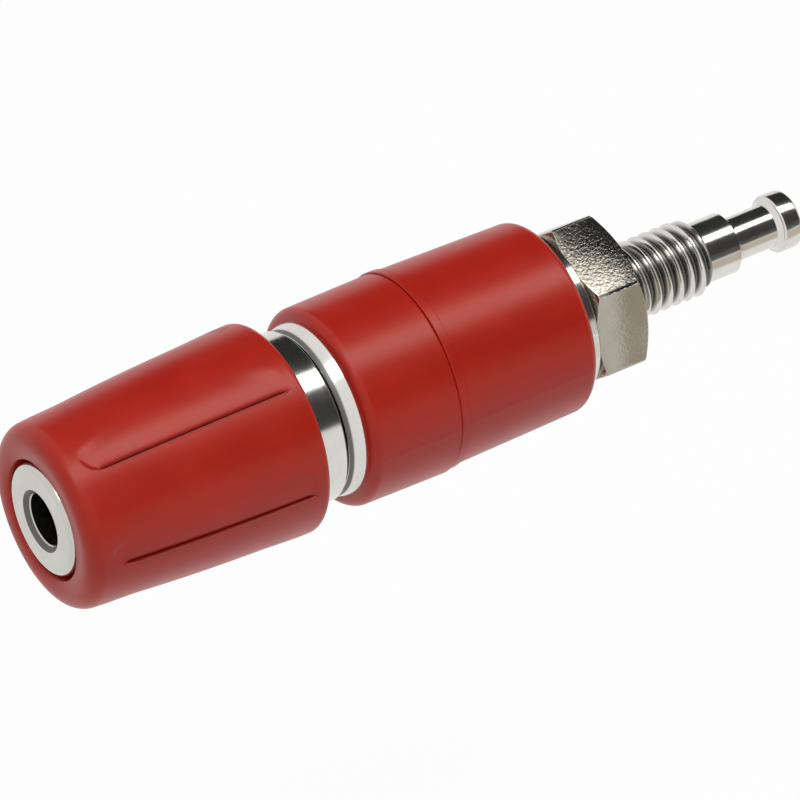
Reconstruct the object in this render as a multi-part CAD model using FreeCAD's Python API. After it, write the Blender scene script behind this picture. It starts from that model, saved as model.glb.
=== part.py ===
import FreeCAD, Part
import math
import os

# A red insulated binding post for a panel, with a captive clamping knob, a 4 mm plug
# socket in its nose, an M6 stud and a solder turret. Millimetres, axis along Y.
# The knob points to -Y and the turret to +Y. Y = 0 is the plane of the panel seat,
# where the front bush meets the panel, or the rear bush when no panel is between them.

V = FreeCAD.Vector

# Clearances and play
STOP_GAP = 0.1
CLAMP_GAP = 0.1
SEAT_GAP = 0.02
THREAD_GAP = 0.05
STOP_RING_GAP = 0.3
BUSH_BORE_GAP = 0.4
SPIGOT_GAP = 0.4
KEY_GAP = 0.25
BUSH_PLAY = 0.06

# Viewed from the knob, the two bushes have dropped apart along this direction, by their play
PLAY_ANGLE = 133.6

# Lengths along the axis
KNOB_LENGTH = 19.5
RIM_LENGTH = 2.4
FLANGE_THICKNESS = 1.3
FRONT_BUSH_LENGTH = 7.7
REAR_BUSH_LENGTH = 12.3
WASHER_THICKNESS = 1.0
NUT_THICKNESS = 4.7
FREE_THREAD = 8.0
SHANK_LENGTH = 2.7
SHANK_CHAMFER = 0.55
NECK_LENGTH = 3.65
HEAD_LENGTH = 1.7
KNOB_TRAVEL = 7.0

# Stem
SOCKET_RADIUS = 2.0
SOCKET_DEPTH = 16.0
SOCKET_COUNTERSINK = 0.4
DRILL_POINT = 1.2
KNOB_THREAD_RADIUS = 3.5
STUD_RADIUS = 3.0
STUD_CHAMFER = 0.5
FLANGE_FLARE = 0.15
KEY_STEP = 0.5
KEY_LENGTH = 4.0
KEY_CORNER_BREAK = 0.6
WIRE_HOLE_RADIUS = 1.5
WIRE_HOLE_TO_FLANGE = 0.4
SHANK_RADIUS = 2.38
NECK_RADIUS = 1.7
HEAD_RADIUS = 2.27
HEAD_ROUNDING = 0.4
HEAD_FLARE = 0.35
EDGE_BREAK = 0.15

# Stop bush
STOP_RADIUS = 4.35
STOP_HEAD_LENGTH = 2.5
STOP_PROUD = 0.1
STOP_ROUNDING = 0.5
STOP_SHANK_RADIUS = 2.6
STOP_SHANK_LENGTH = 4.0

# Knob
KNOB_RADIUS = 8.14
KNOB_NOSE_TAPER = 1.0
KNOB_MIDDLE_TAPER = 0.3
KNOB_FACE_WIDTH = 1.15
KNOB_REAR_ROUNDING = 0.5
KNOB_RIM_WALL = 1.54

# Grips: each is a scoop that is deepest at a step and runs out at the end of its width
GRIP_COUNT = 6
GRIP_FIRST_ANGLE = 57.1
GRIP_WIDTH = 56.0
GRIP_BOW_ANGLE = 25.2
GRIP_BOW_SHARE = 0.42
GRIP_FRONT_DEPTH = 0.42
GRIP_REAR_DEPTH = 0.22
GRIP_START = 1.7
GRIP_END_MARGIN = 1.1
GRIP_END_ROUNDING = 1.6
GRIP_EDGE_ROUNDING = 0.12
CUTTER_MARGIN = 1.5
CUTTER_RUNOUT = 0.05

# Knob insert
RIM_STEP = 1.0
RIM_SUNK = 0.8
RELIEF_STEP = 0.4
RELIEF_MARGIN = 0.3

# Bushes
FRONT_BUSH_RADIUS = 7.72
FRONT_BUSH_REAR_RADIUS = 7.82
FRONT_BUSH_ROUNDING = 0.85
SPIGOT_RADIUS = 5.8
SPIGOT_LENGTH = 4.5
SPIGOT_FLAT = 5.2
REAR_BUSH_RADIUS = 7.7
REAR_BUSH_REAR_RADIUS = 7.5
REAR_BUSH_ROUNDING = 0.7
LIP_RADIUS = 7.82
LIP_LENGTH = 0.8
LIP_ROUNDING = 0.1
SPIGOT_END_GAP = 0.3

# Washer and nut
WASHER_RADIUS = 6.3
WASHER_BORE_GAP = 0.2
NUT_FLATS = 11.5
NUT_FACE_RADIUS = 5.55
NUT_CHAMFER_ANGLE = 30.0
NUT_COUNTERSINK = 0.4
NUT_CORNER_ANGLE = 41.1

# Radii that follow from the sizes of their neighbours
KNOB_BORE = STOP_RADIUS + STOP_RING_GAP
KNOB_FACE_RADIUS = KNOB_BORE + KNOB_FACE_WIDTH
KNOB_NOSE_RADIUS = KNOB_RADIUS - KNOB_NOSE_TAPER
KNOB_NOSE_ROUNDING = KNOB_NOSE_RADIUS - KNOB_FACE_RADIUS
KNOB_MIDDLE_RADIUS = KNOB_RADIUS - KNOB_MIDDLE_TAPER
RIM_RADIUS = KNOB_RADIUS - KNOB_RIM_WALL
INSERT_RADIUS = RIM_RADIUS - RIM_STEP
FLANGE_RADIUS = RIM_RADIUS
FLANGE_REAR_RADIUS = FLANGE_RADIUS + FLANGE_FLARE
KEY_WIDTH = 2 * (STUD_RADIUS + KEY_STEP)

# Places along the axis, worked out from the lengths
FLANGE_REAR = -FRONT_BUSH_LENGTH
FLANGE_FRONT = FLANGE_REAR - FLANGE_THICKNESS
RIM_REAR = FLANGE_FRONT - CLAMP_GAP
KNOB_REAR = RIM_REAR - RIM_LENGTH
KNOB_FACE = KNOB_REAR - KNOB_LENGTH
STOP_FACE = KNOB_FACE - STOP_PROUD
STOP_REAR = STOP_FACE + STOP_HEAD_LENGTH
INSERT_FRONT = STOP_REAR + KNOB_TRAVEL + STOP_GAP
RIM_FRONT = KNOB_REAR - RIM_SUNK
KNOB_NOSE_END = KNOB_FACE + KNOB_NOSE_ROUNDING
KNOB_FLANK_END = KNOB_REAR - KNOB_REAR_ROUNDING
WIRE_HOLE_PLACE = FLANGE_FRONT - WIRE_HOLE_TO_FLANGE - WIRE_HOLE_RADIUS
RELIEF_END = WIRE_HOLE_PLACE - WIRE_HOLE_RADIUS - RELIEF_MARGIN
SOCKET_END = STOP_FACE + SOCKET_DEPTH
WASHER_FRONT = REAR_BUSH_LENGTH
NUT_FRONT = WASHER_FRONT + WASHER_THICKNESS
NUT_REAR = NUT_FRONT + NUT_THICKNESS
STUD_END = NUT_REAR + FREE_THREAD
SHANK_END = STUD_END + SHANK_LENGTH
NECK_START = SHANK_END + SHANK_CHAMFER
HEAD_FRONT = NECK_START + NECK_LENGTH
HEAD_END = HEAD_FRONT + HEAD_LENGTH


def place(radius, y):
    """A point of an outline: radius from the axis, and place along it."""
    return V(radius, y, 0)


def turned(outline):
    """A solid of revolution about Y. The outline is a closed chain of (radius, y) points.

    A three-part entry (radius, y, middle) ends an arc that runs through middle.
    """
    edges = []
    start = place(*outline[0][:2])
    first = start
    for entry in outline[1:] + [outline[0][:2]]:
        end = place(*entry[:2])
        if len(entry) == 3:
            edges.append(Part.Arc(start, place(*entry[2]), end).toShape())
        elif end.distanceToPoint(start) > 1e-6:
            edges.append(Part.LineSegment(start, end).toShape())
        start = end
    assert start.distanceToPoint(first) < 1e-6
    face = Part.Face(Part.Wire(edges))
    return face.revolve(V(0, 0, 0), V(0, 1, 0), 360)


def corner(radius, y, rounding, radial, axial):
    """Middle point of a quarter round that replaces the sharp corner (radius, y).

    radial and axial are the signs of the directions in which the material lies.
    """
    inset = rounding * (1 - math.sqrt(0.5))
    return (radius + radial * inset, y + axial * inset)


def rod(radius, y_start, y_end):
    """A plain cylinder on the axis."""
    return Part.makeCylinder(radius, y_end - y_start, V(0, y_start, 0), V(0, 1, 0))


def polar(radius, angle, y):
    """A point at an angle about the axis, counted from +X towards +Z."""
    turn = math.radians(angle)
    return V(radius * math.cos(turn), y, radius * math.sin(turn))


def prism(points, length):
    """A straight prism along +Y from a closed polygon."""
    wire = Part.makePolygon(points + [points[0]])
    return Part.Face(wire).extrude(V(0, length, 0))


def block(width, height, y_start, y_end):
    """A square-cornered block centred on the axis, width along X and height along Z."""
    return Part.makeBox(
        width, y_end - y_start, height, V(-width / 2, y_start, -height / 2)
    )


def stem():
    """The turned core: knob thread, flange, key, stud and solder turret in one piece."""
    counterbore = STOP_SHANK_RADIUS + SEAT_GAP
    counterbore_end = STOP_REAR + STOP_SHANK_LENGTH
    body = turned(
        [
            (0, SOCKET_END + DRILL_POINT),
            (SOCKET_RADIUS, SOCKET_END),
            (SOCKET_RADIUS, counterbore_end),
            (counterbore, counterbore_end),
            (counterbore, STOP_REAR),
            (KNOB_THREAD_RADIUS, STOP_REAR),
            (KNOB_THREAD_RADIUS, FLANGE_FRONT),
            (FLANGE_RADIUS - EDGE_BREAK, FLANGE_FRONT),
            (FLANGE_RADIUS, FLANGE_FRONT + EDGE_BREAK),
            (FLANGE_REAR_RADIUS, FLANGE_REAR),
            (STUD_RADIUS, FLANGE_REAR),
            (STUD_RADIUS, STUD_END - STUD_CHAMFER),
            (STUD_RADIUS - STUD_CHAMFER, STUD_END),
            (SHANK_RADIUS, STUD_END),
            (SHANK_RADIUS, SHANK_END),
            (NECK_RADIUS, NECK_START),
            (NECK_RADIUS, HEAD_FRONT - HEAD_FLARE),
            (NECK_RADIUS + HEAD_FLARE, HEAD_FRONT),
            (HEAD_RADIUS - HEAD_ROUNDING / 2, HEAD_FRONT),
            (
                HEAD_RADIUS,
                HEAD_FRONT + HEAD_ROUNDING / 2,
                corner(HEAD_RADIUS, HEAD_FRONT, HEAD_ROUNDING / 2, -1, 1),
            ),
            (HEAD_RADIUS, HEAD_END - HEAD_ROUNDING),
            (
                HEAD_RADIUS - HEAD_ROUNDING,
                HEAD_END,
                corner(HEAD_RADIUS, HEAD_END, HEAD_ROUNDING, -1, -1),
            ),
            (0, HEAD_END),
        ]
    )
    key = block(KEY_WIDTH, KEY_WIDTH, FLANGE_REAR, FLANGE_REAR + KEY_LENGTH)
    key_corner = KEY_WIDTH / math.sqrt(2) - KEY_CORNER_BREAK
    key = key.common(rod(key_corner, FLANGE_REAR, FLANGE_REAR + KEY_LENGTH))
    wire_hole = Part.makeCylinder(
        WIRE_HOLE_RADIUS,
        4 * KNOB_THREAD_RADIUS,
        V(-2 * KNOB_THREAD_RADIUS, WIRE_HOLE_PLACE, 0),
        V(1, 0, 0),
    )
    return body.fuse(key).cut(wire_hole).removeSplitter()


def stop_bush():
    """The nose ring that keeps the knob captive, pressed into the stem, with the socket's mouth."""
    flat_radius = STOP_RADIUS - STOP_ROUNDING
    return turned(
        [
            (SOCKET_RADIUS + SOCKET_COUNTERSINK, STOP_FACE),
            (flat_radius, STOP_FACE),
            (
                STOP_RADIUS,
                STOP_FACE + STOP_ROUNDING,
                corner(STOP_RADIUS, STOP_FACE, STOP_ROUNDING, -1, 1),
            ),
            (STOP_RADIUS, STOP_REAR),
            (STOP_SHANK_RADIUS, STOP_REAR),
            (STOP_SHANK_RADIUS, STOP_REAR + STOP_SHANK_LENGTH),
            (SOCKET_RADIUS, STOP_REAR + STOP_SHANK_LENGTH),
            (SOCKET_RADIUS, STOP_FACE + SOCKET_COUNTERSINK),
        ]
    )


def knob_blank():
    """The knob before its grips: rounded nose, gently swelling flank, stepped bore."""
    return turned(
        [
            (KNOB_BORE, KNOB_FACE),
            (KNOB_FACE_RADIUS, KNOB_FACE),
            (
                KNOB_NOSE_RADIUS,
                KNOB_NOSE_END,
                corner(KNOB_NOSE_RADIUS, KNOB_FACE, KNOB_NOSE_ROUNDING, -1, 1),
            ),
            (
                KNOB_RADIUS,
                KNOB_FLANK_END,
                (KNOB_MIDDLE_RADIUS, (KNOB_NOSE_END + KNOB_FLANK_END) / 2),
            ),
            (
                KNOB_RADIUS - KNOB_REAR_ROUNDING,
                KNOB_REAR,
                corner(KNOB_RADIUS, KNOB_REAR, KNOB_REAR_ROUNDING, -1, -1),
            ),
            (RIM_RADIUS + SEAT_GAP, KNOB_REAR),
            (RIM_RADIUS + SEAT_GAP, RIM_FRONT),
            (INSERT_RADIUS + SEAT_GAP, RIM_FRONT),
            (INSERT_RADIUS + SEAT_GAP, INSERT_FRONT),
            (KNOB_BORE, INSERT_FRONT),
        ]
    )


def flank_radius(y):
    """Radius of the arc of the knob's flank at a place along the axis."""
    share = (y - KNOB_NOSE_END) / (KNOB_FLANK_END - KNOB_NOSE_END)
    chord = KNOB_NOSE_RADIUS + KNOB_NOSE_TAPER * share
    swell = KNOB_NOSE_TAPER / 2 - KNOB_MIDDLE_TAPER
    return chord + 4 * swell * share * (1 - share)


def grip_section(y, depth):
    """Outline of one grip's cutter at one place: a step at angle 0 that runs out over the grip."""
    flank = flank_radius(y)
    outside = (flank + CUTTER_MARGIN) / math.cos(math.radians(GRIP_WIDTH / 2))
    foot = polar(flank - depth, 0, y)
    middle = polar(flank - depth * GRIP_BOW_SHARE, GRIP_BOW_ANGLE, y)
    runout = polar(flank + CUTTER_RUNOUT, GRIP_WIDTH, y)
    far = polar(outside, GRIP_WIDTH, y)
    lean = math.degrees(GRIP_EDGE_ROUNDING / flank)
    hub = polar(flank - GRIP_EDGE_ROUNDING, -lean, y)
    edge_foot = polar(flank - GRIP_EDGE_ROUNDING, 0, y)
    edge_middle = hub + polar(GRIP_EDGE_ROUNDING, 45, 0)
    edge_top = hub + polar(GRIP_EDGE_ROUNDING, 0, 0)
    near = polar(outside, -lean, y)
    return Part.Wire(
        [
            Part.Arc(foot, middle, runout).toShape(),
            Part.LineSegment(runout, far).toShape(),
            Part.LineSegment(far, near).toShape(),
            Part.LineSegment(near, edge_top).toShape(),
            Part.Arc(edge_top, edge_middle, edge_foot).toShape(),
            Part.LineSegment(edge_foot, foot).toShape(),
        ]
    )


def grip_cutter():
    """Cutter for one finger grip, deepest at its step, with a rounded end near the nose."""
    start = KNOB_FACE + GRIP_START
    end = KNOB_REAR - GRIP_END_MARGIN
    middle = (start + end) / 2
    sections = [
        grip_section(start, GRIP_FRONT_DEPTH),
        grip_section(middle, (GRIP_FRONT_DEPTH + GRIP_REAR_DEPTH) / 2),
        grip_section(end, GRIP_REAR_DEPTH),
    ]
    cutter = Part.makeLoft(sections, True, False)
    step_end = [
        e
        for e in cutter.Edges
        if all(abs(v.Y - start) < 1e-6 and abs(v.Z) < 1e-6 for v in e.Vertexes)
    ]
    return cutter.makeFillet(GRIP_END_ROUNDING, step_end)


def knob():
    """The moulded grip, with its scoops in a ring."""
    body = knob_blank()
    cutter = grip_cutter()
    for index in range(GRIP_COUNT):
        grip = cutter.copy()
        angle = GRIP_FIRST_ANGLE + index * 360 / GRIP_COUNT
        grip.rotate(V(0, 0, 0), V(0, 1, 0), -angle)
        body = body.cut(grip)
    return body


def knob_insert():
    """The threaded sleeve in the knob, whose rim clamps the wire against the flange.

    Its bore is relieved where it closes over the wire hole.
    """
    bore = KNOB_THREAD_RADIUS + THREAD_GAP
    relief = bore + RELIEF_STEP
    return turned(
        [
            (bore + EDGE_BREAK, INSERT_FRONT),
            (INSERT_RADIUS, INSERT_FRONT),
            (INSERT_RADIUS, RIM_FRONT),
            (RIM_RADIUS, RIM_FRONT),
            (RIM_RADIUS, RIM_REAR - EDGE_BREAK),
            (RIM_RADIUS - EDGE_BREAK, RIM_REAR),
            (relief + EDGE_BREAK, RIM_REAR),
            (relief, RIM_REAR - EDGE_BREAK),
            (relief, RELIEF_END),
            (bore, RELIEF_END - RELIEF_STEP),
            (bore, INSERT_FRONT + EDGE_BREAK),
        ]
    )


def spigot(gap, y_end):
    """The spigot's two-flatted round, grown by a gap: the same form for the pin and its socket."""
    round_part = rod(SPIGOT_RADIUS + gap, 0, y_end)
    flats = block(2 * (SPIGOT_RADIUS + gap), 2 * (SPIGOT_FLAT + gap), 0, y_end)
    return round_part.common(flats)


def front_bush():
    """The insulator in front of the panel, with a keyed recess and a spigot for the panel hole."""
    bore = STUD_RADIUS + BUSH_BORE_GAP
    shell = turned(
        [
            (bore, FLANGE_REAR),
            (FRONT_BUSH_RADIUS - FRONT_BUSH_ROUNDING, FLANGE_REAR),
            (
                FRONT_BUSH_RADIUS,
                FLANGE_REAR + FRONT_BUSH_ROUNDING,
                corner(FRONT_BUSH_RADIUS, FLANGE_REAR, FRONT_BUSH_ROUNDING, -1, 1),
            ),
            (FRONT_BUSH_REAR_RADIUS, -EDGE_BREAK),
            (FRONT_BUSH_REAR_RADIUS - EDGE_BREAK, 0),
            (bore, 0),
        ]
    )
    nose = spigot(0, SPIGOT_LENGTH).cut(rod(bore, 0, SPIGOT_LENGTH))
    recess_width = KEY_WIDTH + 2 * KEY_GAP
    recess = block(
        recess_width, recess_width, FLANGE_REAR, FLANGE_REAR + KEY_LENGTH + KEY_GAP
    )
    bush = shell.fuse(nose).cut(recess).removeSplitter()
    bush.translate(polar(-BUSH_PLAY, PLAY_ANGLE, 0))
    return bush


def rear_bush():
    """The insulator behind the panel, tapering to the washer, with a socket for the spigot."""
    bore = STUD_RADIUS + BUSH_BORE_GAP
    shell = turned(
        [
            (bore, 0),
            (LIP_RADIUS - LIP_ROUNDING, 0),
            (
                LIP_RADIUS,
                LIP_ROUNDING,
                corner(LIP_RADIUS, 0, LIP_ROUNDING, -1, 1),
            ),
            (LIP_RADIUS, LIP_LENGTH - LIP_ROUNDING),
            (REAR_BUSH_RADIUS, LIP_LENGTH),
            (REAR_BUSH_REAR_RADIUS, REAR_BUSH_LENGTH - REAR_BUSH_ROUNDING),
            (
                REAR_BUSH_REAR_RADIUS - REAR_BUSH_ROUNDING,
                REAR_BUSH_LENGTH,
                corner(
                    REAR_BUSH_REAR_RADIUS, REAR_BUSH_LENGTH, REAR_BUSH_ROUNDING, -1, -1
                ),
            ),
            (bore, REAR_BUSH_LENGTH),
        ]
    )
    bush = shell.cut(spigot(SPIGOT_GAP, SPIGOT_LENGTH + SPIGOT_END_GAP))
    bush.translate(polar(BUSH_PLAY, PLAY_ANGLE, 0))
    return bush


def washer():
    """The plain washer under the nut."""
    bore = STUD_RADIUS + WASHER_BORE_GAP
    return turned(
        [
            (bore, WASHER_FRONT),
            (WASHER_RADIUS - EDGE_BREAK, WASHER_FRONT),
            (WASHER_RADIUS, WASHER_FRONT + EDGE_BREAK),
            (WASHER_RADIUS, NUT_FRONT - EDGE_BREAK),
            (WASHER_RADIUS - EDGE_BREAK, NUT_FRONT),
            (bore, NUT_FRONT),
        ]
    )


def hex_nut():
    """The hexagon nut, with its corners chamfered on both faces."""
    corner_radius = NUT_FLATS / 2 / math.cos(math.radians(30))
    hexagon = [
        polar(corner_radius, NUT_CORNER_ANGLE + 60 * k, NUT_FRONT) for k in range(6)
    ]
    chamfer = (corner_radius - NUT_FACE_RADIUS) * math.tan(
        math.radians(NUT_CHAMFER_ANGLE)
    )
    bore = STUD_RADIUS + THREAD_GAP
    envelope = turned(
        [
            (bore + NUT_COUNTERSINK, NUT_FRONT),
            (NUT_FACE_RADIUS, NUT_FRONT),
            (corner_radius, NUT_FRONT + chamfer),
            (corner_radius, NUT_REAR - chamfer),
            (NUT_FACE_RADIUS, NUT_REAR),
            (bore + NUT_COUNTERSINK, NUT_REAR),
            (bore, NUT_REAR - NUT_COUNTERSINK),
            (bore, NUT_FRONT + NUT_COUNTERSINK),
        ]
    )
    return prism(hexagon, NUT_THICKNESS).common(envelope)


PARTS = {
    "stem": stem,
    "stop_bush": stop_bush,
    "knob": knob,
    "knob_insert": knob_insert,
    "front_bush": front_bush,
    "rear_bush": rear_bush,
    "washer": washer,
    "hex_nut": hex_nut,
}

os.makedirs("parts", exist_ok=True)
for name, build in PARTS.items():
    shape = build()
    assert shape.isValid() and len(shape.Solids) == 1, name
    shape.exportStep(f"parts/{name}.step")
    box = shape.optimalBoundingBox(False)
    print(
        f"{name}: {shape.Volume:.1f} mm3, Y {box.YMin:.2f} to {box.YMax:.2f}, "
        f"X {box.XMin:.2f} to {box.XMax:.2f}, Z {box.ZMin:.2f} to {box.ZMax:.2f}"
    )
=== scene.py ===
import math

import bmesh
import bpy
import numpy as np
from mathutils import Matrix, Vector

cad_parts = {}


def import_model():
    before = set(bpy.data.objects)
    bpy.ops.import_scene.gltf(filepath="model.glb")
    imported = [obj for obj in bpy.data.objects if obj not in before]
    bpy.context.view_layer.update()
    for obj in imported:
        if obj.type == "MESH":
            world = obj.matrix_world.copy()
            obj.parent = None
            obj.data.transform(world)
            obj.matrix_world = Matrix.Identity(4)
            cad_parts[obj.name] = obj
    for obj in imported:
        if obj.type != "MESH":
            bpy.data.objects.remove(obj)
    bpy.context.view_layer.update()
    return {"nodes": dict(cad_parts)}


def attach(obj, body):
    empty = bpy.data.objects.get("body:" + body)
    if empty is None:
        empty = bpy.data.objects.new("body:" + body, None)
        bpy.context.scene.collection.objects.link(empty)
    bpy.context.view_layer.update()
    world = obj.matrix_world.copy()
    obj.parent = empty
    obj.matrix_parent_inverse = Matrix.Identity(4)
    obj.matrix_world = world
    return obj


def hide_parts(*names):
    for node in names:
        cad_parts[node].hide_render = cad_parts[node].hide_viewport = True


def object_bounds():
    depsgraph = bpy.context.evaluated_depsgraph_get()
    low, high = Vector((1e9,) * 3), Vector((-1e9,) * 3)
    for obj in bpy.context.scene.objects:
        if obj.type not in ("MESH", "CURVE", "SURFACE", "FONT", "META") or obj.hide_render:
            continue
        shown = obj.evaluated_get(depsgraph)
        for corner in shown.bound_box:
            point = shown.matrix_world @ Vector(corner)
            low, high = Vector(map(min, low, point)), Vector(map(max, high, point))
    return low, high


# The looks of a red panel binding post: moulded plastic, nickel-plated turned brass and
# its two cut threads. Axis along Y, knob towards -Y, solder turret towards +Y. Sizes are in
# metres, and those of the pieces in millimetres.

MM = 0.001

# Camera: a long lens that looks down on the post from the knob's end. Angles are in degrees
# and the sensor in millimetres
AZIMUTH = 56.64
ELEVATION = 38.46
DISTANCE = 0.5
IMAGE_SIZE = 800
PIXELS_PER_METRE = 14000
KNOB_FACE_PIXEL = (41.5, 521.0)
KNOB_FACE_Y = -31.0 * MM
SENSOR = 36.0
CLIP_START = 0.01
CLIP_END = 20.0

# Studio, in metres, degrees and watts: a floor, an overhead light and the room's own light
FLOOR_DROP = 0.04
FLOOR_SIZE = 6.0
FLOOR_WHITE = 0.965
FLOOR_SHADE = (0.86, 0.86, 0.86)
WHITE = (1.0, 1.0, 1.0)
KEY_POWER = 2.52
KEY_WIDTH = 0.205
KEY_LENGTH = 1.2
KEY_RADIUS = 0.55
KEY_ANGLE = 80.0
KEY_SHIFT = 0.15
ROOM_LIGHT = 0.25

# Cards that only reflections show: the radius, start and end of the cylinder that each lies
# on, in metres, then each card's name, its first and last angle, its shade and its cylinder
FAR_CYLINDER = (0.63, 0.08, 1.6)
NEAR_CYLINDER = (0.06, 0.0425, 0.25)
CARDS = (
    ("dark_card_right", 14.0, 69.0, (0.05, 0.05, 0.052), FAR_CYLINDER),
    ("dark_card_left", 93.0, 168.0, (0.03, 0.034, 0.032), FAR_CYLINDER),
    ("dark_card_low", -4.0, 16.0, (0.10, 0.105, 0.10), NEAR_CYLINDER),
    ("grey_card_low", -40.0, -8.0, (0.66, 0.60, 0.52), NEAR_CYLINDER),
)
CARD_COLUMNS = 24

# Sockets of a Mix node that are its factor, its two colours and its resulting colour
MIX_FACTOR = 0
MIX_FIRST = 6
MIX_SECOND = 7
MIX_RESULT = 2

# Red plastic: marks per metre, the reds between which it wanders and how, and its gloss
RED_CLOUD = 260.0
RED_GRAIN = 9000.0
RED_GRAIN_DETAIL = 2.0
RED_FLOW = (900.0, 90.0, 900.0)
RED_LOW = (0.50, 0.0135, 0.0035)
RED_HIGH = (0.58, 0.0185, 0.0060)
# Painted shade: the dark red laid into the grips' creases
RED_CREASE_PAINTED_SHADE = (0.07, 0.003, 0.002)
RED_CLOUD_SHARE = 0.6
RED_FLOW_SHARE = 0.4
RED_START = 0.35
RED_CONTRAST = 2.2
RED_ROUGHNESS = 0.27
RED_CLOUD_ROUGHNESS = 0.10
RED_GRAIN_ROUGHNESS = 0.06
RED_CLOUD_HEIGHT = 2.0
RED_FLOW_HEIGHT = 0.5
RED_GRAIN_HEIGHT = 0.35
RED_BUMP = 0.12
RED_BUMP_HEIGHT = 0.00003
RED_REFRACTION = 1.52
RED_GLOSS = 0.42
RED_GLOSS_TINT = (1.0, 0.92, 0.84)

# Nickel plate: marks per metre, how its shade wanders, and what makes it duller
PLATE_CLOUD = 420.0
PLATE_LINE_BREAKUP = 0.6
PLATE_START = 0.3
PLATE_CONTRAST = 1.6
PLATE_LINE_ROUGHNESS = 0.10
PLATE_CLOUD_ROUGHNESS = 0.08
PLATE_BAND_ROUGHNESS = 0.2

# Dark bands painted on the plate: painted shade in the thread's roots and the socket's countersink,
# and a dark line round the flange's front edge. The radii in millimetres between which they lie,
# their soft outer edge, and their shade
ROOT_PAINTED_SHADE = (2.395, 2.8, 0.3)
FLANGE_EDGE_BAND = (6.30, 6.50, 0.04)
COUNTERSINK_PAINTED_SHADE = (2.07, 2.43, 0.04)
PAINTED_SHADE_COLOUR = (0.05, 0.047, 0.04)
PAINTED_SHADE_STRENGTH = 0.85

# Finishes of the nickel: tool marks per metre along each axis, roughness, its darkest and
# lightest shade, and the strength and the height in metres of its relief
TURNED = {
    "marks": (300.0, 9000.0, 300.0),
    "roughness": 0.16,
    "low": (0.62, 0.60, 0.56),
    "high": (0.74, 0.72, 0.68),
    "strength": 0.25,
    "height": 0.00002,
}
TURNED_SOCKET = {**TURNED, "low": (0.51, 0.505, 0.46), "high": (0.61, 0.605, 0.55)}
TUMBLED = {
    "marks": (4200.0, 4200.0, 4200.0),
    "roughness": 0.14,
    "low": (0.35, 0.32, 0.27),
    "high": (0.45, 0.42, 0.36),
    "strength": 1.0,
    "height": 0.00003,
}

# Meshes: points no farther apart than the first count as one and edges no longer than the
# second as none, in metres, and edges that turn more than the next two degrees stay sharp
SAME_PLACE = 1e-7
NO_LENGTH = 1e-8
SHARP = 32.0
KNOB_SHARP = 50.0

# Points of a small quarter round
ROUND_STEPS = 6

# Stem, in millimetres, as the CAD part has it but for the flange's cone
COLUMNS = 144
SOCKET_RADIUS = 2.0
SOCKET_END = -15.1
DRILL_POINT = 1.2
COUNTERBORE_RADIUS = 2.62
COUNTERBORE_END = -24.6
STEM_FRONT = -28.6
KNOB_THREAD_RADIUS = 3.5
FLANGE_FRONT = -8.88
FLANGE_REAR = -7.7
FLANGE_RADIUS = 6.42
FLANGE_REAR_RADIUS = 6.75
EDGE_BREAK = 0.15
KEY_END = -3.7
KEY_HALF = 3.5
KEY_CORNER = 4.35
STUD_RADIUS = 3.0
STUD_END = 26.0
SHANK_RADIUS = 2.38
SHANK_END = 28.7
NECK_RADIUS = 1.7
NECK_START = 29.25
HEAD_FRONT = 32.9
HEAD_FLARE = 0.35
HEAD_END = 34.6
HEAD_RADIUS = 2.27
HEAD_FRONT_ROUNDING = 0.15
HEAD_REAR_ROUNDING = 0.4
WIRE_HOLE_RADIUS = 1.5
WIRE_HOLE_PLACE = -10.9
WIRE_HOLE_SIDES = 48

# Threads, in millimetres: pitch, one turn's form as places along the pitch with their share
# of the full depth, and the depth itself as a share of the pitch
PITCH = 1.0
THREAD_DEPTH = 0.6
THREAD_CHAMFER = 0.55
THREAD_RUNOUT = 1.0
STUD_THREAD_START = 1.0
KNOB_THREAD_END = -9.6
THREAD_PLACES = (0.02, 0.06, 0.22, 0.38, 0.44, 0.56, 0.62, 0.78, 0.94, 0.98)
THREAD_SHARES = (0.0, 0.04, 0.48, 0.95, 1.0, 1.0, 0.95, 0.48, 0.04, 0.0)

# Knob, in millimetres
KNOB_FACE = -31.0
KNOB_REAR = -11.5
KNOB_RADIUS = 8.14
KNOB_NOSE_TAPER = 1.0
KNOB_MIDDLE_TAPER = 0.3
KNOB_NOSE_RADIUS = 7.14
KNOB_NOSE_ROUNDING = 1.34
KNOB_NOSE_END = -29.66
KNOB_NOSE_STEPS = 12
KNOB_REAR_ROUNDING = 0.5
KNOB_REAR_STEPS = 8
KNOB_FLANK_END = -12.0
KNOB_FLANK_ROWS = (22, 30, 14)
KNOB_BORE = 4.65
KNOB_LEAD = 0.12
KNOB_SLEEVE_MOUTH = 6.62
KNOB_SLEEVE = 5.62
KNOB_RIM_FRONT = -12.3
KNOB_INSERT_FRONT = -21.5
KNOB_OUTSIDE = 6.72

# Finger grips: angles in degrees round the knob, and sizes in millimetres
GRIPS = 6
GRIP_PITCH = 60.0
GRIP_FIRST_ANGLE = 57.1
GRIP_WIDTH = 56.0
GRIP_FALL = 1.8
GRIP_START = -29.4
GRIP_END = -12.5
GRIP_FRONT_DEPTH = 0.25
GRIP_REAR_DEPTH = 0.18
GRIP_CORNER = 1.5
GRIP_CORNER_REACH = 0.4
GRIP_FRONT_FADE = 0.45
GRIP_REAR_FADE = 0.9
GRIP_FADE_GROWTH = 2.6
GRIP_STEP_WIDTH = 0.07
GRIP_STEP_ANGLE = 1.4
GRIP_STEP_COLUMNS = 11
GRIP_SCOOP_COLUMNS = 30
GRIP_CREASE = 0.1
GRIP_CREASE_WIDTH = 0.08

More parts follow.
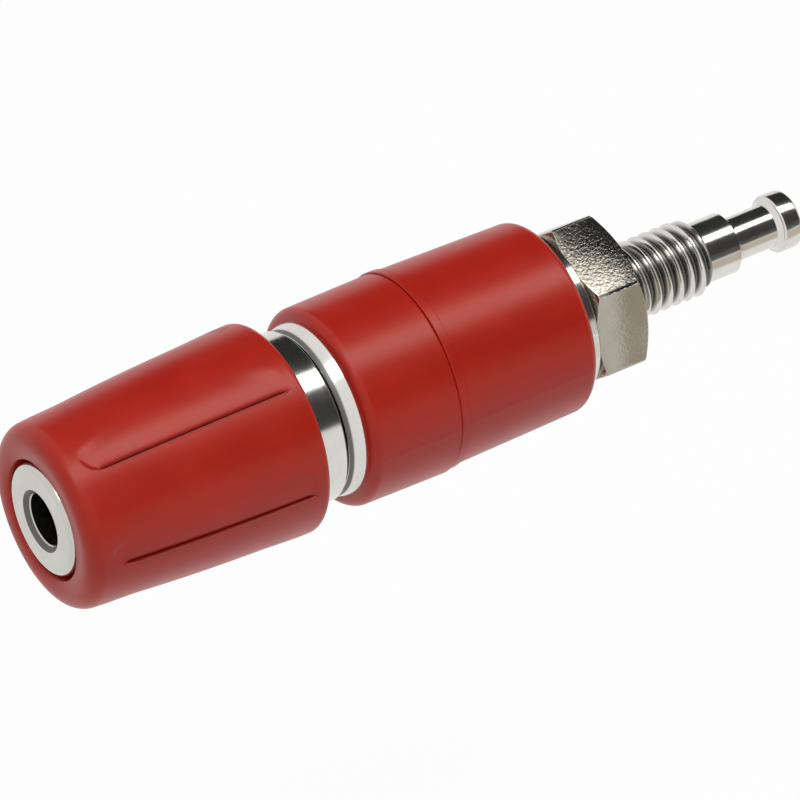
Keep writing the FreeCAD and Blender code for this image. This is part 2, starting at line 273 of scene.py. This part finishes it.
# Painted shade in the grips' creases: the degrees before a step that count with it, where the shade
# lies along the arc and how wide, in millimetres, and how it hooks round the front corner
PAINTED_CREASE_SHADE_ATTRIBUTE = "painted_crease_shade"
CREASE_LEAD = 1.0
CREASE_PAINTED_SHADE = 0.75
CREASE_PLACE = 0.10
CREASE_WIDTH = 0.12
HOOK_PLACE = 0.12
HOOK_WIDTH = 0.13
HOOK_PAINTED_SHADE = 0.55
HOOK_FADE = 0.5

# Nut, in millimetres and degrees
NUT_FRONT = 13.3
NUT_REAR = 18.0
NUT_SIDES = 6
NUT_SIDE_ANGLE = 60.0
NUT_SIDE_COLUMNS = 15
NUT_FLATS = 11.5
NUT_FACE_RADIUS = 5.55
NUT_CHAMFER_ANGLE = 30.0
NUT_BORE = 3.05
NUT_COUNTERSINK = 0.4
NUT_CORNER_ANGLE = 41.1
NUT_CORNER_TURN = 1.1
NUT_CORNER_SHARE = 0.994
NUT_EDGE = 0.12
NUT_EDGE_INSET = 0.45
NUT_EDGE_DROP = 0.3


class Socket:
    """A shader socket that takes part in sums, products and comparisons."""

    def __init__(self, graph, link):
        self.graph = graph
        self.link = link

    def math(self, operation, other):
        """The result of a Math node for this value and another."""
        return self.graph.node("ShaderNodeMath", {"operation": operation}, {0: self, 1: other})

    def __add__(self, other):
        return self.math("ADD", other)

    __radd__ = __add__

    def __mul__(self, other):
        return self.math("MULTIPLY", other)

    __rmul__ = __mul__

    def __sub__(self, other):
        return self.math("SUBTRACT", other)

    def __rsub__(self, other):
        return self.graph.node("ShaderNodeMath", {"operation": "SUBTRACT"}, {0: other, 1: self})

    def clip(self):
        """The value held between 0 and 1."""
        return self.graph.node("ShaderNodeClamp", {}, {0: self})

    def other(self, name):
        """Another output of the same node."""
        return Socket(self.graph, self.link.node.outputs[name])


class Graph:
    """The node tree of a material or a world, with one method that makes any node."""

    def __init__(self, owner):
        owner.use_nodes = True
        self.owner = owner
        self.tree = owner.node_tree
        self.tree.nodes.clear()

    def node(self, kind, settings=None, inputs=None, output=0):
        """Adds a node, sets it, feeds its inputs and returns one output."""
        made = self.tree.nodes.new(kind)
        for key, value in (settings or {}).items():
            setattr(made, key, value)
        for key, value in (inputs or {}).items():
            socket = made.inputs[key]
            if isinstance(value, Socket):
                self.tree.links.new(value.link, socket)
            else:
                socket.default_value = value
        return Socket(self, made.outputs[output]) if made.outputs else None

    def place(self):
        """The place on the object, in its own coordinates."""
        return self.node("ShaderNodeTexCoord", {}, {}, "Object")

    def noise(self, place, scale, detail=3.0, roughness=0.5):
        """Smooth random values round a half, with so many marks per unit of the place."""
        inputs = {"Vector": place, "Scale": scale, "Detail": detail, "Roughness": roughness}
        return self.node("ShaderNodeTexNoise", {}, inputs)

    def stretched(self, place, scale):
        """The object's place with each axis stretched, for marks that run one way."""
        return self.node("ShaderNodeMapping", {}, {"Vector": place, "Scale": scale})

    def mix(self, factor, first, second):
        """A colour between two, each a socket or the red, green and blue of a shade."""
        ends = [c if isinstance(c, Socket) else colour(*c) for c in (first, second)]
        inputs = {MIX_FACTOR: factor, MIX_FIRST: ends[0], MIX_SECOND: ends[1]}
        return self.node("ShaderNodeMix", {"data_type": "RGBA"}, inputs, MIX_RESULT)

    def finish(self, shader, kind="ShaderNodeOutputMaterial"):
        """Joins the shader to the output, and returns the material or the world."""
        self.node(kind, {}, {"Surface": shader})
        return self.owner


def colour(red, green, blue):
    """A shade as a colour socket takes it, with a full alpha."""
    return (red, green, blue, 1.0)


def red_plastic():
    """Moulded polyamide: satin red, faintly uneven in colour, with a fine mould texture."""
    g = Graph(bpy.data.materials.new("red_plastic"))
    place = g.place()
    cloud = g.noise(place, RED_CLOUD)
    grain = g.noise(place, RED_GRAIN, RED_GRAIN_DETAIL)
    flow = g.noise(g.stretched(place, RED_FLOW), 1.0)
    uneven = cloud * RED_CLOUD_SHARE + flow * RED_FLOW_SHARE
    base = g.mix(((uneven - RED_START) * RED_CONTRAST).clip(), RED_LOW, RED_HIGH)
    # Painted shade: the base turns dark red along the grips' creases and round their front corners
    crease = g.node("ShaderNodeAttribute", {"attribute_name": PAINTED_CREASE_SHADE_ATTRIBUTE}, {}, "Fac")
    base = g.mix(crease * CREASE_PAINTED_SHADE, base, RED_CREASE_PAINTED_SHADE)
    rough = RED_ROUGHNESS + cloud * RED_CLOUD_ROUGHNESS + grain * RED_GRAIN_ROUGHNESS
    height = grain * RED_GRAIN_HEIGHT + flow * RED_FLOW_HEIGHT + cloud * RED_CLOUD_HEIGHT
    inputs = {"Strength": RED_BUMP, "Distance": RED_BUMP_HEIGHT, "Height": height}
    bump = g.node("ShaderNodeBump", {}, inputs)
    inputs = {
        "Base Color": base,
        "Roughness": rough,
        "Normal": bump,
        "IOR": RED_REFRACTION,
        "Specular IOR Level": RED_GLOSS,
        "Specular Tint": colour(*RED_GLOSS_TINT),
    }
    return g.finish(g.node("ShaderNodeBsdfPrincipled", {}, inputs))


def nickel(name, bands, marks, roughness, low, high, strength, height):
    """Nickel plate over turned brass: fine tool lines round the axis, and uneven gloss.

    It is darker, by painted shade, and duller in bands of radii, as in a thread's roots or a
    socket's countersink.
    """
    g = Graph(bpy.data.materials.new(name))
    place = g.place()
    lines = g.noise(g.stretched(place, marks), 1.0, roughness=PLATE_LINE_BREAKUP)
    cloud = g.noise(place, PLATE_CLOUD)
    base = g.mix((cloud * PLATE_CONTRAST - PLATE_START).clip(), low, high)
    flat = g.stretched(place, (1.0, 0.0, 1.0))
    radius = g.node("ShaderNodeVectorMath", {"operation": "LENGTH"}, {0: flat}, "Value")
    # Painted shade: how much the bands of radii darken the base
    dark = 0
    for foot, top, rise in bands:
        inside = ((top * MM - radius) * (1 / (rise * MM))).clip()
        dark = inside * radius.math("GREATER_THAN", foot * MM) + dark
    base = g.mix(dark * PAINTED_SHADE_STRENGTH, base, PAINTED_SHADE_COLOUR)
    middle = roughness - (PLATE_LINE_ROUGHNESS + PLATE_CLOUD_ROUGHNESS) / 2
    uneven = lines * PLATE_LINE_ROUGHNESS + cloud * PLATE_CLOUD_ROUGHNESS
    rough = (middle + uneven + dark * PLATE_BAND_ROUGHNESS).clip()
    bump = g.node("ShaderNodeBump", {}, {"Strength": strength, "Distance": height, "Height": lines})
    inputs = {"Base Color": base, "Metallic": 1.0, "Roughness": rough, "Normal": bump}
    return g.finish(g.node("ShaderNodeBsdfPrincipled", {}, inputs))


def looked_at(g):
    """1 for a ray from the camera, off a gloss or through glass, and 0 for any other."""
    path = g.node("ShaderNodeLightPath", {}, {}, "Is Camera Ray")
    seen = path.math("MAXIMUM", path.other("Is Glossy Ray"))
    return seen.math("MAXIMUM", path.other("Is Transmission Ray"))


def glow(g, shade):
    """The plain light of one shade."""
    return g.node("ShaderNodeEmission", {}, {"Color": colour(*shade), "Strength": 1.0})


def floor_material():
    """White for what looks at it straight or in a reflection, over a pale diffuse floor."""
    g = Graph(bpy.data.materials.new("pale_floor"))
    pale = g.node("ShaderNodeBsdfDiffuse", {}, {"Color": colour(*FLOOR_SHADE)})
    inputs = {0: looked_at(g) * FLOOR_WHITE, 1: pale, 2: glow(g, WHITE)}
    return g.finish(g.node("ShaderNodeMixShader", {}, inputs))


def world():
    """A white room: full white where it is seen, a plain level where it lights the object."""
    g = Graph(bpy.data.worlds.new("white_room"))
    level = looked_at(g) * (1 - ROOM_LIGHT) + ROOM_LIGHT
    background = g.node("ShaderNodeBackground", {}, {"Color": colour(*WHITE), "Strength": level})
    bpy.context.scene.world = g.finish(background, "ShaderNodeOutputWorld")


def mesh_object(name, points, faces):
    """An object made of whole arrays of points and quads or triangles."""
    mesh = bpy.data.meshes.new(name)
    mesh.from_pydata(points.reshape(-1, 3).tolist(), [], [list(f) for f in faces])
    made = bpy.data.objects.new(name, mesh)
    bpy.context.scene.collection.objects.link(made)
    return made


def grid_faces(rows, columns, wrap_rows=False, wrap_columns=False):
    """Quads of a grid of rows by columns, closed on itself where asked."""
    r = np.arange(rows if wrap_rows else rows - 1)
    c = np.arange(columns if wrap_columns else columns - 1)
    r, c = np.meshgrid(r, c, indexing="ij")
    r1, c1 = (r + 1) % rows, (c + 1) % columns
    quads = np.stack([r * columns + c, r * columns + c1, r1 * columns + c1, r1 * columns + c], -1)
    return quads.reshape(-1, 4)


def ring(radius, y):
    """One row of the stem at one place: point = (radius * cos turn, y, radius * sin turn).

    The radius is a number for a circle, or a function of the turn.
    """
    turn = np.linspace(0, 2 * np.pi, COLUMNS + 1)
    radius = radius(turn) if callable(radius) else np.full_like(turn, radius)
    y = np.full_like(turn, y)
    return np.stack([radius * np.cos(turn), y, radius * np.sin(turn)], -1)[None]


def square(turn):
    """The square key's radius: half its width over the larger of |cos| and |sin|.

    It is at most the radius to which the corners are turned off.
    """
    reach = KEY_HALF / np.maximum(np.abs(np.cos(turn)), np.abs(np.sin(turn)))
    return np.minimum(reach, KEY_CORNER)


def thread(crest, start, end, chamfer_at, runout_at):
    """Rows of a right-handed thread.

    Row r at turn t lies at y = pitch * (r - t / full turn), held between the ends. Its radius is
    the crest less depth * form(y / pitch + t / full turn), faded over the run-out, and under the
    chamfer's cone.
    """
    turn = np.linspace(0, 2 * np.pi, COLUMNS + 1)
    turns = np.arange(math.floor(start / PITCH) - 1, math.ceil(end / PITCH) + 2)
    places = (turns[:, None] + np.array(THREAD_PLACES)[None, :]).reshape(-1)
    y = np.clip(PITCH * (places[:, None] - turn[None, :] / (2 * np.pi)), start, end)
    phase = (y / PITCH + turn[None, :] / (2 * np.pi)) % 1.0
    shares = THREAD_SHARES[-1:] + THREAD_SHARES + THREAD_SHARES[:1]
    spots = (THREAD_PLACES[-1] - 1,) + THREAD_PLACES + (THREAD_PLACES[0] + 1,)
    depth = THREAD_DEPTH * PITCH * np.interp(phase, spots, shares)
    depth = depth * np.clip(np.abs(y - runout_at) / THREAD_RUNOUT, 0, 1)
    cone = crest - THREAD_CHAMFER + np.abs(y - chamfer_at)
    radius = np.minimum(crest - depth, cone)
    return np.stack([radius * np.cos(turn)[None, :], y, radius * np.sin(turn)[None, :]], -1)


def quarter(radius, y, rounding, radial, axial, steps=ROUND_STEPS):
    """Profile points of a quarter round inside the corner at (radius, y).

    Each lies rounding * (1 - sin) from the corner along one axis and rounding * (1 - cos)
    along the other, for angles from 0 to 90 degrees. The two signs say towards which side.
    """
    angle = np.linspace(0, np.pi / 2, steps)
    side, along = (np.sin(angle), np.cos(angle)) if axial > 0 else (np.cos(angle), np.sin(angle))
    r = radius + radial * rounding * (1 - side)
    p = y + axial * rounding * (1 - along)
    return list(zip(r, p))


def stem():
    """The turned core: a profile carried round Y, with its two threads cut along their helix."""
    outline = [
        (0, SOCKET_END + DRILL_POINT),
        (SOCKET_RADIUS, SOCKET_END),
        (SOCKET_RADIUS, COUNTERBORE_END),
        (COUNTERBORE_RADIUS, COUNTERBORE_END),
        (COUNTERBORE_RADIUS, STEM_FRONT),
    ]
    rows = [ring(*point) for point in outline]
    ends = (STEM_FRONT, KNOB_THREAD_END)
    rows.append(thread(KNOB_THREAD_RADIUS, *ends, chamfer_at=ends[0], runout_at=ends[1]))
    outline = [
        (KNOB_THREAD_RADIUS, FLANGE_FRONT),
        (FLANGE_RADIUS - EDGE_BREAK, FLANGE_FRONT),
        (FLANGE_RADIUS, FLANGE_FRONT + EDGE_BREAK),
        (FLANGE_REAR_RADIUS, FLANGE_REAR),
        (square, FLANGE_REAR),
        (square, KEY_END),
        (STUD_RADIUS, KEY_END),
    ]
    rows += [ring(*point) for point in outline]
    ends = (STUD_THREAD_START, STUD_END)
    rows.append(thread(STUD_RADIUS, *ends, chamfer_at=ends[1], runout_at=ends[0]))
    outline = [
        (SHANK_RADIUS, STUD_END),
        (SHANK_RADIUS, SHANK_END),
        (NECK_RADIUS, NECK_START),
        (NECK_RADIUS, HEAD_FRONT - HEAD_FLARE),
        (NECK_RADIUS + HEAD_FLARE, HEAD_FRONT),
    ]
    outline += quarter(HEAD_RADIUS, HEAD_FRONT, HEAD_FRONT_ROUNDING, -1, 1)
    outline += quarter(HEAD_RADIUS, HEAD_END, HEAD_REAR_ROUNDING, -1, -1)
    outline.append((0, HEAD_END))
    rows += [ring(*point) for point in outline]
    points = np.concatenate(rows) * MM
    made = mesh_object("threaded_stem", points, grid_faces(len(points), COLUMNS + 1))
    tidy(made.data)
    drill(made)
    made.data.set_sharp_from_angle(angle=math.radians(SHARP))
    return made


def tidy(mesh):
    """Joins doubled points, drops faces of no area and turns every face outwards."""
    work = bmesh.new()
    work.from_mesh(mesh)
    bmesh.ops.remove_doubles(work, verts=work.verts, dist=SAME_PLACE)
    bmesh.ops.dissolve_degenerate(work, edges=work.edges, dist=NO_LENGTH)
    bmesh.ops.recalc_face_normals(work, faces=work.faces)
    for face in work.faces:
        face.smooth = True
    work.to_mesh(mesh)
    work.free()


def drill(made):
    """Cuts the wire hole across the stem: a cylinder along X, with no point on the stem's seam."""
    sides = WIRE_HOLE_SIDES
    turn = (np.arange(sides) + 0.5) * 2 * np.pi / sides
    y = np.cos(turn) * WIRE_HOLE_RADIUS + WIRE_HOLE_PLACE
    z = np.sin(turn) * WIRE_HOLE_RADIUS
    reach = 2 * KNOB_THREAD_RADIUS
    points = [np.column_stack([np.full(sides, x), y, z]) for x in (-reach, reach)]
    faces = grid_faces(2, sides, wrap_columns=True).tolist()
    faces += [list(range(sides)), list(range(2 * sides - 1, sides - 1, -1))]
    cutter = mesh_object("drill", np.concatenate(points) * MM, faces)
    tidy(cutter.data)
    cut = made.modifiers.new("wire_hole", "BOOLEAN")
    cut.operation = "DIFFERENCE"
    cut.object = cutter
    cut.solver = "EXACT"
    graph = bpy.context.evaluated_depsgraph_get()
    drilled = bpy.data.meshes.new_from_object(made.evaluated_get(graph))
    made.modifiers.remove(cut)
    made.data = drilled
    tidy(drilled)
    bpy.data.objects.remove(cutter)


def flank_radius(y):
    """Radius of the knob's flank: a chord between its ends, swelled by a parabola."""
    share = np.clip((y - KNOB_NOSE_END) / (KNOB_FLANK_END - KNOB_NOSE_END), 0, 1)
    swell = KNOB_NOSE_TAPER / 2 - KNOB_MIDDLE_TAPER
    return KNOB_RADIUS - KNOB_NOSE_TAPER * (1 - share) + 4 * swell * share * (1 - share)


def smooth(value):
    """Runs from 0 to 1 with a level start and end: 3 v^2 - 2 v^3."""
    value = np.clip(value, 0, 1)
    return value * value * (3 - 2 * value)


def grip_front(arc):
    """Where a grip starts: a quarter circle of the corner's radius, and then level."""
    back = np.sqrt(np.maximum(GRIP_CORNER**2 - np.maximum(GRIP_CORNER - arc, 0) ** 2, 0))
    return GRIP_START + GRIP_CORNER - back


def grip_ends(arc, y):
    """How much of a grip is there: 0 before its front end and past its rear end, 1 between."""
    growth = GRIP_FADE_GROWTH * np.maximum(arc - GRIP_CORNER, 0)
    front = smooth((y - grip_front(arc)) / (GRIP_FRONT_FADE + growth))
    rear = smooth((GRIP_END - y) / (GRIP_REAR_FADE + growth))
    return front * rear


def paint_crease_shade(mesh):
    """Stores painted shade for each point from its distance to a crease: exp(-((arc - place) /
    width)^2) along its arc.

    The painted shade hooks round the grip's front corner, fainter, by the same formula along Y.
    """
    points = np.empty(len(mesh.vertices) * 3)
    mesh.vertices.foreach_get("co", points)
    x, y, z = points.reshape(-1, 3).T / MM
    turn = np.degrees(np.arctan2(z, x))
    above = (turn - GRIP_FIRST_ANGLE + CREASE_LEAD) % GRIP_PITCH - CREASE_LEAD
    arc = np.radians(above) * flank_radius(y)
    inside = np.maximum(arc, 0)
    crease_shade = np.exp(-(((arc - CREASE_PLACE) / CREASE_WIDTH) ** 2)) * grip_ends(inside, y)
    hook_shade = np.exp(-(((y - grip_front(inside) - HOOK_PLACE) / HOOK_WIDTH) ** 2))
    hook_shade = hook_shade * HOOK_PAINTED_SHADE * smooth((1 - arc / GRIP_CORNER) / HOOK_FADE) * (arc > 0)
    crease_shade = np.where(np.hypot(x, z) > KNOB_SLEEVE_MOUTH, np.maximum(crease_shade, hook_shade), 0)
    mesh.attributes.new(PAINTED_CREASE_SHADE_ATTRIBUTE, "FLOAT", "POINT").data.foreach_set("value", crease_shade)


def grip_depth(turn, y):
    """Depth of the six finger grips below the flank.

    From each step the depth dies out over the grip's width as (1 - share) to the power of the
    fall. It is a little deeper in a fine crease at the foot of the step, and fades over the two
    ends, the more slowly the farther from the step, with the front end drawn back round the
    step's corner.
    """
    above = (np.degrees(turn) - GRIP_FIRST_ANGLE) % GRIP_PITCH
    along = (y - GRIP_START) / (GRIP_END - GRIP_START)
    full = GRIP_FRONT_DEPTH + (GRIP_REAR_DEPTH - GRIP_FRONT_DEPTH) * along
    scoop = full * np.clip(1 - above / GRIP_WIDTH, 0, 1) ** GRIP_FALL
    arc = np.radians(above) * flank_radius(y)
    crease = GRIP_CREASE * np.exp(-(((arc - GRIP_STEP_WIDTH) / GRIP_CREASE_WIDTH) ** 2))
    rise = smooth(arc / GRIP_STEP_WIDTH)
    return (scoop + crease) * rise * grip_ends(arc, y)


def knob():
    """The moulded grip: a closed profile carried round Y, less the depth of its grips.

    Columns lie closer together beside each grip's step, and rows closer towards its ends.
    """
    step = np.linspace(0, GRIP_STEP_ANGLE, GRIP_STEP_COLUMNS, endpoint=False)
    scoop = np.linspace(GRIP_STEP_ANGLE, GRIP_PITCH, GRIP_SCOOP_COLUMNS, endpoint=False)
    first = GRIP_FIRST_ANGLE + GRIP_PITCH * np.arange(GRIPS)
    turn = np.radians((first[:, None] + np.concatenate([step, scoop])).reshape(-1))
    corner_end = GRIP_START + GRIP_CORNER + GRIP_CORNER_REACH
    fade_start = GRIP_END - GRIP_REAR_FADE
    front_rows, middle_rows, rear_rows = KNOB_FLANK_ROWS
    flank = np.concatenate(
        [
            np.linspace(KNOB_NOSE_END, corner_end, front_rows)[1:],
            np.linspace(corner_end, fade_start, middle_rows)[1:],
            np.linspace(fade_start, KNOB_FLANK_END, rear_rows)[1:-1],
        ]
    )
    outline = [(KNOB_BORE, KNOB_FACE + KNOB_LEAD), (KNOB_BORE + KNOB_LEAD, KNOB_FACE)]
    outline += quarter(KNOB_NOSE_RADIUS, KNOB_FACE, KNOB_NOSE_ROUNDING, -1, 1, KNOB_NOSE_STEPS)
    outline += list(zip(flank_radius(flank), flank))
    outline += quarter(KNOB_RADIUS, KNOB_REAR, KNOB_REAR_ROUNDING, -1, -1, KNOB_REAR_STEPS)
    outline += [
        (KNOB_SLEEVE_MOUTH, KNOB_REAR),
        (KNOB_SLEEVE_MOUTH, KNOB_RIM_FRONT),
        (KNOB_SLEEVE, KNOB_RIM_FRONT),
        (KNOB_SLEEVE, KNOB_INSERT_FRONT),
        (KNOB_BORE, KNOB_INSERT_FRONT),
    ]
    outline = np.array(outline)
    radius, y = outline[:, :1] * np.ones_like(turn), outline[:, 1:] * np.ones_like(turn)
    outside = (radius > KNOB_OUTSIDE) & (y < KNOB_FLANK_END)
    radius = radius - np.where(outside, grip_depth(turn[None, :], y), 0)
    points = np.stack([radius * np.cos(turn), y, radius * np.sin(turn)], -1) * MM
    made = mesh_object("moulded_knob", points, grid_faces(len(outline), len(turn), True, True))
    tidy(made.data)
    # Painted shade for the creases, kept on the points for the red plastic
    paint_crease_shade(made.data)
    made.data.set_sharp_from_angle(angle=math.radians(KNOB_SHARP))
    return made


def nut():
    """The hexagon nut: radius = the hexagon's, rounded at its six corners, under a chamfer cone.

    The hexagon's radius is half its flats over cos(angle from the middle of a flat). Rows run
    from the bore over each face to where the cone meets the flats, so they follow its arcs.
    """
    half_side = np.radians(NUT_SIDE_ANGLE) / 2
    edge = np.radians(NUT_CORNER_TURN)
    places = np.linspace(edge - half_side, half_side - edge, NUT_SIDE_COLUMNS)
    places = np.append(places, half_side)
    first = np.radians(NUT_CORNER_ANGLE + NUT_SIDE_ANGLE * np.arange(NUT_SIDES)) + half_side
    turn = (first[:, None] + places[None, :]).reshape(-1)
    from_middle = np.abs(np.tile(places, NUT_SIDES))
    reach = NUT_FLATS / 2 / np.cos(np.minimum(from_middle, half_side - edge))
    reach = np.where(from_middle > half_side - edge / 2, reach * NUT_CORNER_SHARE, reach)
    slope = math.tan(math.radians(NUT_CHAMFER_ANGLE))
    chamfer = np.maximum(reach - NUT_FACE_RADIUS, 0) * slope
    inset = NUT_EDGE * NUT_EDGE_INSET
    drop = NUT_EDGE * NUT_EDGE_DROP
    rows = [
        (NUT_BORE, NUT_FRONT + NUT_COUNTERSINK),
        (NUT_BORE + NUT_COUNTERSINK, NUT_FRONT),
        (NUT_FACE_RADIUS - NUT_EDGE, NUT_FRONT),
        (NUT_FACE_RADIUS, NUT_FRONT + drop),
        (reach - inset, NUT_FRONT + chamfer),
        (reach, NUT_FRONT + chamfer + NUT_EDGE),
        (reach, NUT_REAR - chamfer - NUT_EDGE),
        (reach - inset, NUT_REAR - chamfer),
        (NUT_FACE_RADIUS, NUT_REAR - drop),
        (NUT_FACE_RADIUS - NUT_EDGE, NUT_REAR),
        (NUT_BORE + NUT_COUNTERSINK, NUT_REAR),
        (NUT_BORE, NUT_REAR - NUT_COUNTERSINK),
    ]
    rows = [(r * np.cos(turn), y * np.ones_like(turn), r * np.sin(turn)) for r, y in rows]
    points = np.array(rows).transpose(0, 2, 1) * MM
    made = mesh_object("bevelled_nut", points, grid_faces(len(rows), len(turn), True, True))
    tidy(made.data)
    made.data.set_sharp_from_angle(angle=math.radians(SHARP))
    return made


def card(name, start, end, shade, cylinder):
    """A strip of a cylinder about the post's axis, from one angle to another.

    point = radius * (cos angle, 0, sin angle) + place along Y. It is seen in reflections only.
    """
    radius, *ends = cylinder
    angle = np.radians(np.linspace(start, end, CARD_COLUMNS))[:, None]
    y = np.array(ends)[None, :]
    points = np.stack(np.broadcast_arrays(radius * np.cos(angle), y, radius * np.sin(angle)), -1)
    made = mesh_object(name, points, grid_faces(CARD_COLUMNS, len(ends)))
    g = Graph(bpy.data.materials.new(name))
    made.data.materials.append(g.finish(glow(g, shade)))
    made.visible_camera = False
    made.visible_diffuse = False
    made.visible_shadow = False
    made.visible_transmission = False


def studio():
    """Floor, overhead light and dark cards that give the metal its dark bands."""
    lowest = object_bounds()[0].z - FLOOR_DROP
    size = FLOOR_SIZE
    corners = [(-size, -size), (size, -size), (size, size), (-size, size)]
    points = np.array([(x, y, lowest) for x, y in corners])
    floor = mesh_object("floor", points, [range(len(corners))])
    floor.data.materials.append(floor_material())
    world()
    light = bpy.data.lights.new("overhead_softbox", "AREA")
    light.shape = "RECTANGLE"
    light.size = KEY_WIDTH
    light.size_y = KEY_LENGTH
    light.energy = KEY_POWER
    lamp = bpy.data.objects.new("overhead_softbox", light)
    angle = math.radians(KEY_ANGLE)
    out = Vector((math.cos(angle), 0, math.sin(angle)))
    along = Vector((0, 1, 0))
    turned = Matrix((along.cross(out), along, out)).transposed().to_4x4()
    lamp.matrix_world = Matrix.Translation(out * KEY_RADIUS + along * KEY_SHIFT) @ turned
    bpy.context.scene.collection.objects.link(lamp)
    for row in CARDS:
        card(*row)


def camera():
    """A camera on the photograph's line of sight, with the knob's face on its pixel."""
    a, e = math.radians(AZIMUTH), math.radians(ELEVATION)
    back = Vector((math.sin(a) * math.cos(e), -math.cos(a) * math.cos(e), math.sin(e)))
    right = Vector((math.cos(a), math.sin(a), 0))
    up = back.cross(right)
    middle = IMAGE_SIZE / 2
    across = (KNOB_FACE_PIXEL[0] - middle) / PIXELS_PER_METRE
    above = (middle - KNOB_FACE_PIXEL[1]) / PIXELS_PER_METRE
    eye = Vector((0, KNOB_FACE_Y, 0)) - right * across - up * above + back * DISTANCE
    data = bpy.data.cameras.new("camera")
    data.sensor_width = SENSOR
    data.lens = SENSOR * PIXELS_PER_METRE * DISTANCE / IMAGE_SIZE
    data.clip_start = CLIP_START
    data.clip_end = CLIP_END
    made = bpy.data.objects.new("camera", data)
    made.matrix_world = Matrix.Translation(eye) @ Matrix((right, up, back)).transposed().to_4x4()
    bpy.context.scene.collection.objects.link(made)
    bpy.context.scene.camera = made


def dress(node, material):
    """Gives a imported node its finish."""
    mesh = node.data
    mesh.materials.clear()
    mesh.materials.append(material)


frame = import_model()
bpy.context.scene.view_settings.view_transform = "Standard"

camera()
studio()

plastic = red_plastic()
bright = nickel("turned_nickel", (ROOT_PAINTED_SHADE, FLANGE_EDGE_BAND), **TURNED)
socket = nickel("socket_nickel", (COUNTERSINK_PAINTED_SHADE,), **TURNED_SOCKET)
for name in ("front_bush", "rear_bush"):
    dress(frame["nodes"][name], plastic)
for name in ("knob_insert", "washer"):
    dress(frame["nodes"][name], bright)
dress(frame["nodes"]["stop_bush"], socket)
tumbled = nickel("tumbled_nickel", (ROOT_PAINTED_SHADE,), **TUMBLED)
for piece, body, node, finish in (
    (stem(), "post", "stem", bright),
    (nut(), "nut", "hex_nut", tumbled),
    (knob(), "knob", "knob", plastic),
):
    dress(piece, finish)
    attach(piece, body)
    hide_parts(node)
